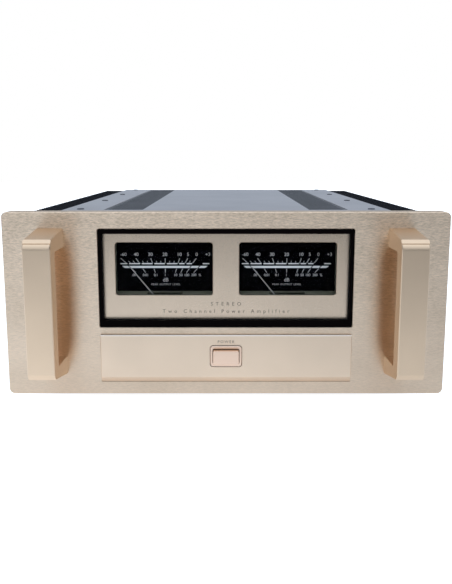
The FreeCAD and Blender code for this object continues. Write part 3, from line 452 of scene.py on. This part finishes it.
UPPER_LINE, THICK_LINE = -61.7, -65.5      # heights below the panel's top, in millimetres
MARK_FOCUS = 40.0                          # every mark leans towards a point this far below its own line
MAJORS = [-43.6, -28.8, -14.2, 0.0, 14.3, 22.2, 30.6]
MINORS_BETWEEN = [2, 2, 2, 2, 1, 1]
NUMBERS = [(-47.2, "-60"), (-32.8, "40"), (-16.8, "30"), (-0.3, "20"), (16.1, "10"), (26.0, "5"),
           (35.7, "0"), (48.4, "+3")]
LOWER_TICKS = [-38.6, -25.9, -13.1, 0.0, 13.1, 20.1, 27.6, 36.9]
LOWER_NUMBERS = [(-35.8, ".00"), (-22.4, "0.01"), (-10.8, "0.1"), (-0.2, "1"), (11.6, "10"), (17.6, "50"),
                 (24.2, "100"), (32.4, "200"), (39.2, "%")]
SEGMENTS = [(-51.0, -43.0), (-41.1, -28.5), (-26.6, -14.4), (-12.4, -0.4), (1.8, 14.0), (15.8, 21.9),
            (24.3, 30.4), (42.5, 50.2)]
THICK_SPANS = [(-47.5, -41.2), (-40.3, 27.9), (29.2, 37.5), (38.9, 46.6)]


def dial_print(side, white, grey, soft_white):
    low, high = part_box("meter_dial_" + side)
    centre_x, face_y = (low.x + high.x) / 2, low.y
    lines, ticks = [], []

    def spot(x, z):
        return Vector((centre_x + x * MM, face_y, PANEL_TOP + z * MM))

    def leaning(x, line, height):
        return spot(x * (1 + height / MARK_FOCUS), line + height)

    def tick(x, line, start, end, width):
        a, b = leaning(x, line, start), leaning(x, line, end)
        ticks.append(stroke(a.x, a.z, b.x, b.z, width * MM, face_y))

    for x0, x1 in SEGMENTS:
        half = 0.6
        lines.append([spot(x0, UPPER_LINE - half), spot(x1, UPPER_LINE - half),
                      spot(x1, UPPER_LINE + half), spot(x0, UPPER_LINE + half)])
    for x0, x1 in THICK_SPANS:
        half = 1.2
        lines.append([leaning(x0, THICK_LINE, -half), leaning(x1, THICK_LINE, -half),
                      leaning(x1, THICK_LINE, half), leaning(x0, THICK_LINE, half)])
    for x in MAJORS:
        tick(x, UPPER_LINE, 0.7, 6.2, 0.95)
    for (x0, x1), count in zip(zip(MAJORS, MAJORS[1:]), MINORS_BETWEEN):
        for i in range(1, count + 1):
            tick(x0 + (x1 - x0) * i / (count + 1), UPPER_LINE, 0.7, 3.2, 0.75)
    for x in LOWER_TICKS:
        tick(x, THICK_LINE - 1.4, -0.3, -5.1, 0.85)
    printed("dial_lines_" + side, lines, white)
    printed("dial_ticks_" + side, ticks, grey)
    raised = Vector((0, -HALF_PRINT, 0))
    numbers = [lettering(text, 5.6 * MM, spot(x, -51.2) + raised) for x, text in NUMBERS]
    joined("dial_numbers_" + side, numbers, soft_white)
    small = [lettering(text, 4.3 * MM, spot(x, -74.9) + raised, 0.92) for x, text in LOWER_NUMBERS]
    small.append(lettering("dB", 6.2 * MM, spot(0.2, -80.5) + raised))
    small.append(lettering("PEAK OUTPUT LEVEL", 3.1 * MM, spot(0.3, -85.7) + raised, 1.16))
    joined("dial_small_print_" + side, small, soft_white)


def front_lettering(ink):
    plate_y = FASCIA_FRONT - HALF_PRINT
    upper = Vector((0, plate_y, PANEL_TOP - 102.2 * MM))
    lower = Vector((0, plate_y, PANEL_TOP - 110.4 * MM))
    lines = [lettering("STEREO", 5.6 * MM, upper, 2.0),
             lettering("Two Channel Power Amplifier", 5.8 * MM, lower, 1.9)]
    joined("fascia_lettering", lines, ink)
    above = Vector((BEZEL_LOW.x / 2 + BEZEL_HIGH.x / 2, SUB_FRONT - HALF_PRINT, BEZEL_HIGH.z + 4.4 * MM))
    joined("power_lettering", [lettering("POWER", 4.3 * MM, above, 1.4)], ink)


def rear_lettering(ink):
    y = REAR_FACE + HALF_PRINT
    lines = []
    for name, node in NODES.items():
        if name.startswith("post_cap"):
            low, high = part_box(name)
            sign = "+" if name.endswith("plus") else "-"
            above = Vector(((low.x + high.x) / 2, y, high.z + 7 * MM))
            lines.append(lettering(sign, 7 * MM, above, from_rear=True))
    low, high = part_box("input_sockets")
    for x, text in ((low.x, "LEFT"), (high.x, "RIGHT")):
        middle = x + (7.5 * MM if x < 0 else -7.5 * MM)
        lines.append(lettering(text, 5 * MM, Vector((middle, y, high.z + 6 * MM)), 1.2, True))
        lines.append(lettering("INPUT", 4 * MM, Vector((middle, y, low.z - 6 * MM)), 1.2, True))
        lines.append(lettering("SPEAKER", 4 * MM, Vector((middle, y, 0.05)), 1.2, True))
    low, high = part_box("mains_inlet")
    lines.append(lettering("AC INPUT", 4 * MM, Vector((0, y, high.z + 6 * MM)), 1.2, True))
    joined("rear_lettering", lines, ink)


# ---------------------------------------------------------------- stage, light and camera
DAYLIGHT = (0.86, 1.0, 1.2)
ROOM_AROUND = [(0.0, 0.06), (0.16, 0.12), (0.3, 0.29), (0.5, 0.2), (0.7, 0.03), (1.0, 0.02)]
ROOM_BACK = 0.4
ROOM_CEILING = 0.66
SUN_STRENGTH = 1.43
FLOOR_GLOW_SEEN = 0.93
FLOOR_GLOW = 0.56
FAR_SHARE, POOL_REACH = 0.2, 1.5


def make_stage():
    """Floor that is pale to the camera. Everything else sees a pool of light, stronger on the left."""
    size = 6.0
    mesh = bpy.data.meshes.new("floor")
    corners = [(-size, -size, 0), (size, -size, 0), (size, size, 0), (-size, size, 0)]
    mesh.from_pydata(corners, [], [(0, 1, 2, 3)])
    floor = bpy.data.objects.new("floor", mesh)
    bpy.context.scene.collection.objects.link(floor)
    s = Shade("floor_pale", (0.8, 0.8, 0.8), 0.7)
    seen = s.tree.nodes.new("ShaderNodeLightPath").outputs["Is Camera Ray"]
    where = s.add("SeparateXYZ", {0: s.place()})
    away = s.maths("ABSOLUTE", s.maths("ADD", where.outputs[1], 0.3))
    near = s.remap(away, 1.0, FAR_SHARE, 0.0, POOL_REACH)
    pool = s.maths("MULTIPLY", near, s.remap(where.outputs[0], 1.0, 0.68, -0.4, 0.4))
    glow = s.maths("MULTIPLY", s.maths("SUBTRACT", 1.0, seen), s.maths("MULTIPLY", pool, FLOOR_GLOW))
    s.feed("Emission Strength", s.maths("ADD", s.maths("MULTIPLY", seen, FLOOR_GLOW_SEEN), glow))
    s.feed("Emission Color", s.blend(seen, DAYLIGHT, (1, 1, 1)))
    pale = s.ramp(s.noise(1.5), (0.3, (0.79, 0.79, 0.79)), (0.7, (0.81, 0.81, 0.81)))
    s.feed("Base Color", s.blend(seen, s.ramp(pool, (0.0, (0, 0, 0)), (1.0, (0.85, 0.85, 0.85))), pale))
    mesh.materials.append(s.mat)


def make_world():
    """Plain white to the camera. Everything else sees a room that is brightest overhead.

    In front, that room is brightest a little to the left.
    """
    world = bpy.data.worlds.new("studio")
    world.use_nodes = True
    tree = world.node_tree
    room = tree.nodes["Background"]
    split = tree.nodes.new("ShaderNodeSeparateXYZ")
    tree.links.new(tree.nodes.new("ShaderNodeTexCoord").outputs["Generated"], split.inputs[0])

    def share(axis, start, end):
        node = tree.nodes.new("ShaderNodeMapRange")
        tree.links.new(split.outputs[axis], node.inputs["Value"])
        node.inputs["From Min"].default_value = start
        node.inputs["From Max"].default_value = end
        return node.outputs["Result"]

    def mix(factor, a, b):
        node = tree.nodes.new("ShaderNodeMix")
        node.data_type = "RGBA"
        tree.links.new(factor, node.inputs[0])
        for index, value in ((6, a), (7, b)):
            if isinstance(value, bpy.types.NodeSocket):
                tree.links.new(value, node.inputs[index])
            else:
                node.inputs[index].default_value = (*value, 1)
        return node.outputs[2]

    around = tree.nodes.new("ShaderNodeValToRGB")
    while len(around.color_ramp.elements) < len(ROOM_AROUND):
        around.color_ramp.elements.new(0.5)
    for element, (position, strength) in zip(around.color_ramp.elements, ROOM_AROUND):
        element.position = position
        element.color = (*scaled(DAYLIGHT, strength), 1)
    tree.links.new(share(0, -1.0, 1.0), around.inputs["Fac"])
    walls = mix(share(1, -0.4, 0.4), around.outputs["Color"], scaled(DAYLIGHT, ROOM_BACK))
    tree.links.new(mix(share(2, 0.3, 0.95), walls, scaled(DAYLIGHT, ROOM_CEILING)), room.inputs["Color"])
    seen = tree.nodes.new("ShaderNodeBackground")
    seen.inputs["Color"].default_value = (1, 1, 1, 1)
    path = tree.nodes.new("ShaderNodeLightPath")
    both = tree.nodes.new("ShaderNodeMixShader")
    tree.links.new(path.outputs["Is Camera Ray"], both.inputs[0])
    tree.links.new(room.outputs[0], both.inputs[1])
    tree.links.new(seen.outputs[0], both.inputs[2])
    tree.links.new(both.outputs[0], tree.nodes["World Output"].inputs["Surface"])
    bpy.context.scene.world = world
    bpy.context.scene.view_settings.view_transform = "Standard"


def make_lights():
    """One very broad soft light from above and a little in front, even over the whole floor."""
    data = bpy.data.lights.new("ceiling_light", "SUN")
    data.energy = SUN_STRENGTH
    data.color = DAYLIGHT
    data.angle = math.radians(120)
    lamp = bpy.data.objects.new("ceiling_light", data)
    lamp.rotation_euler = Vector((0, 0.4, -1)).to_track_quat("-Z", "Y").to_euler()
    bpy.context.scene.collection.objects.link(lamp)


def make_camera():
    """Stands 0.65 m in front of the panel and a little above it, looking slightly down."""
    data = bpy.data.cameras.new("camera")
    data.lens = 37.37
    data.shift_y = -0.0805
    camera = bpy.data.objects.new("camera", data)
    camera.location = (0, PANEL_LOW.y - 0.6455, PANEL_TOP + 0.0564)
    camera.rotation_euler = (math.radians(90 - 8.11), 0, 0)
    bpy.context.scene.collection.objects.link(camera)
    bpy.context.scene.camera = camera


make_camera()
make_stage()
make_world()
make_lights()
finish_frame()
white_print = painted("white_print", (0.95, 0.92, 0.86), 0.5, 900, 0.03)
grey_print = painted("grey_print", (0.38, 0.37, 0.34), 0.5, 900, 0.03)
soft_print = painted("soft_print", (0.62, 0.6, 0.56), 0.5, 900, 0.03)
brown_ink = painted("brown_ink", (0.13, 0.09, 0.065), 0.5, 900, 0.03)
for meter_side in ("left", "right"):
    dial_print(meter_side, white_print, grey_print, soft_print)
front_lettering(brown_ink)
rear_lettering(soft_print)
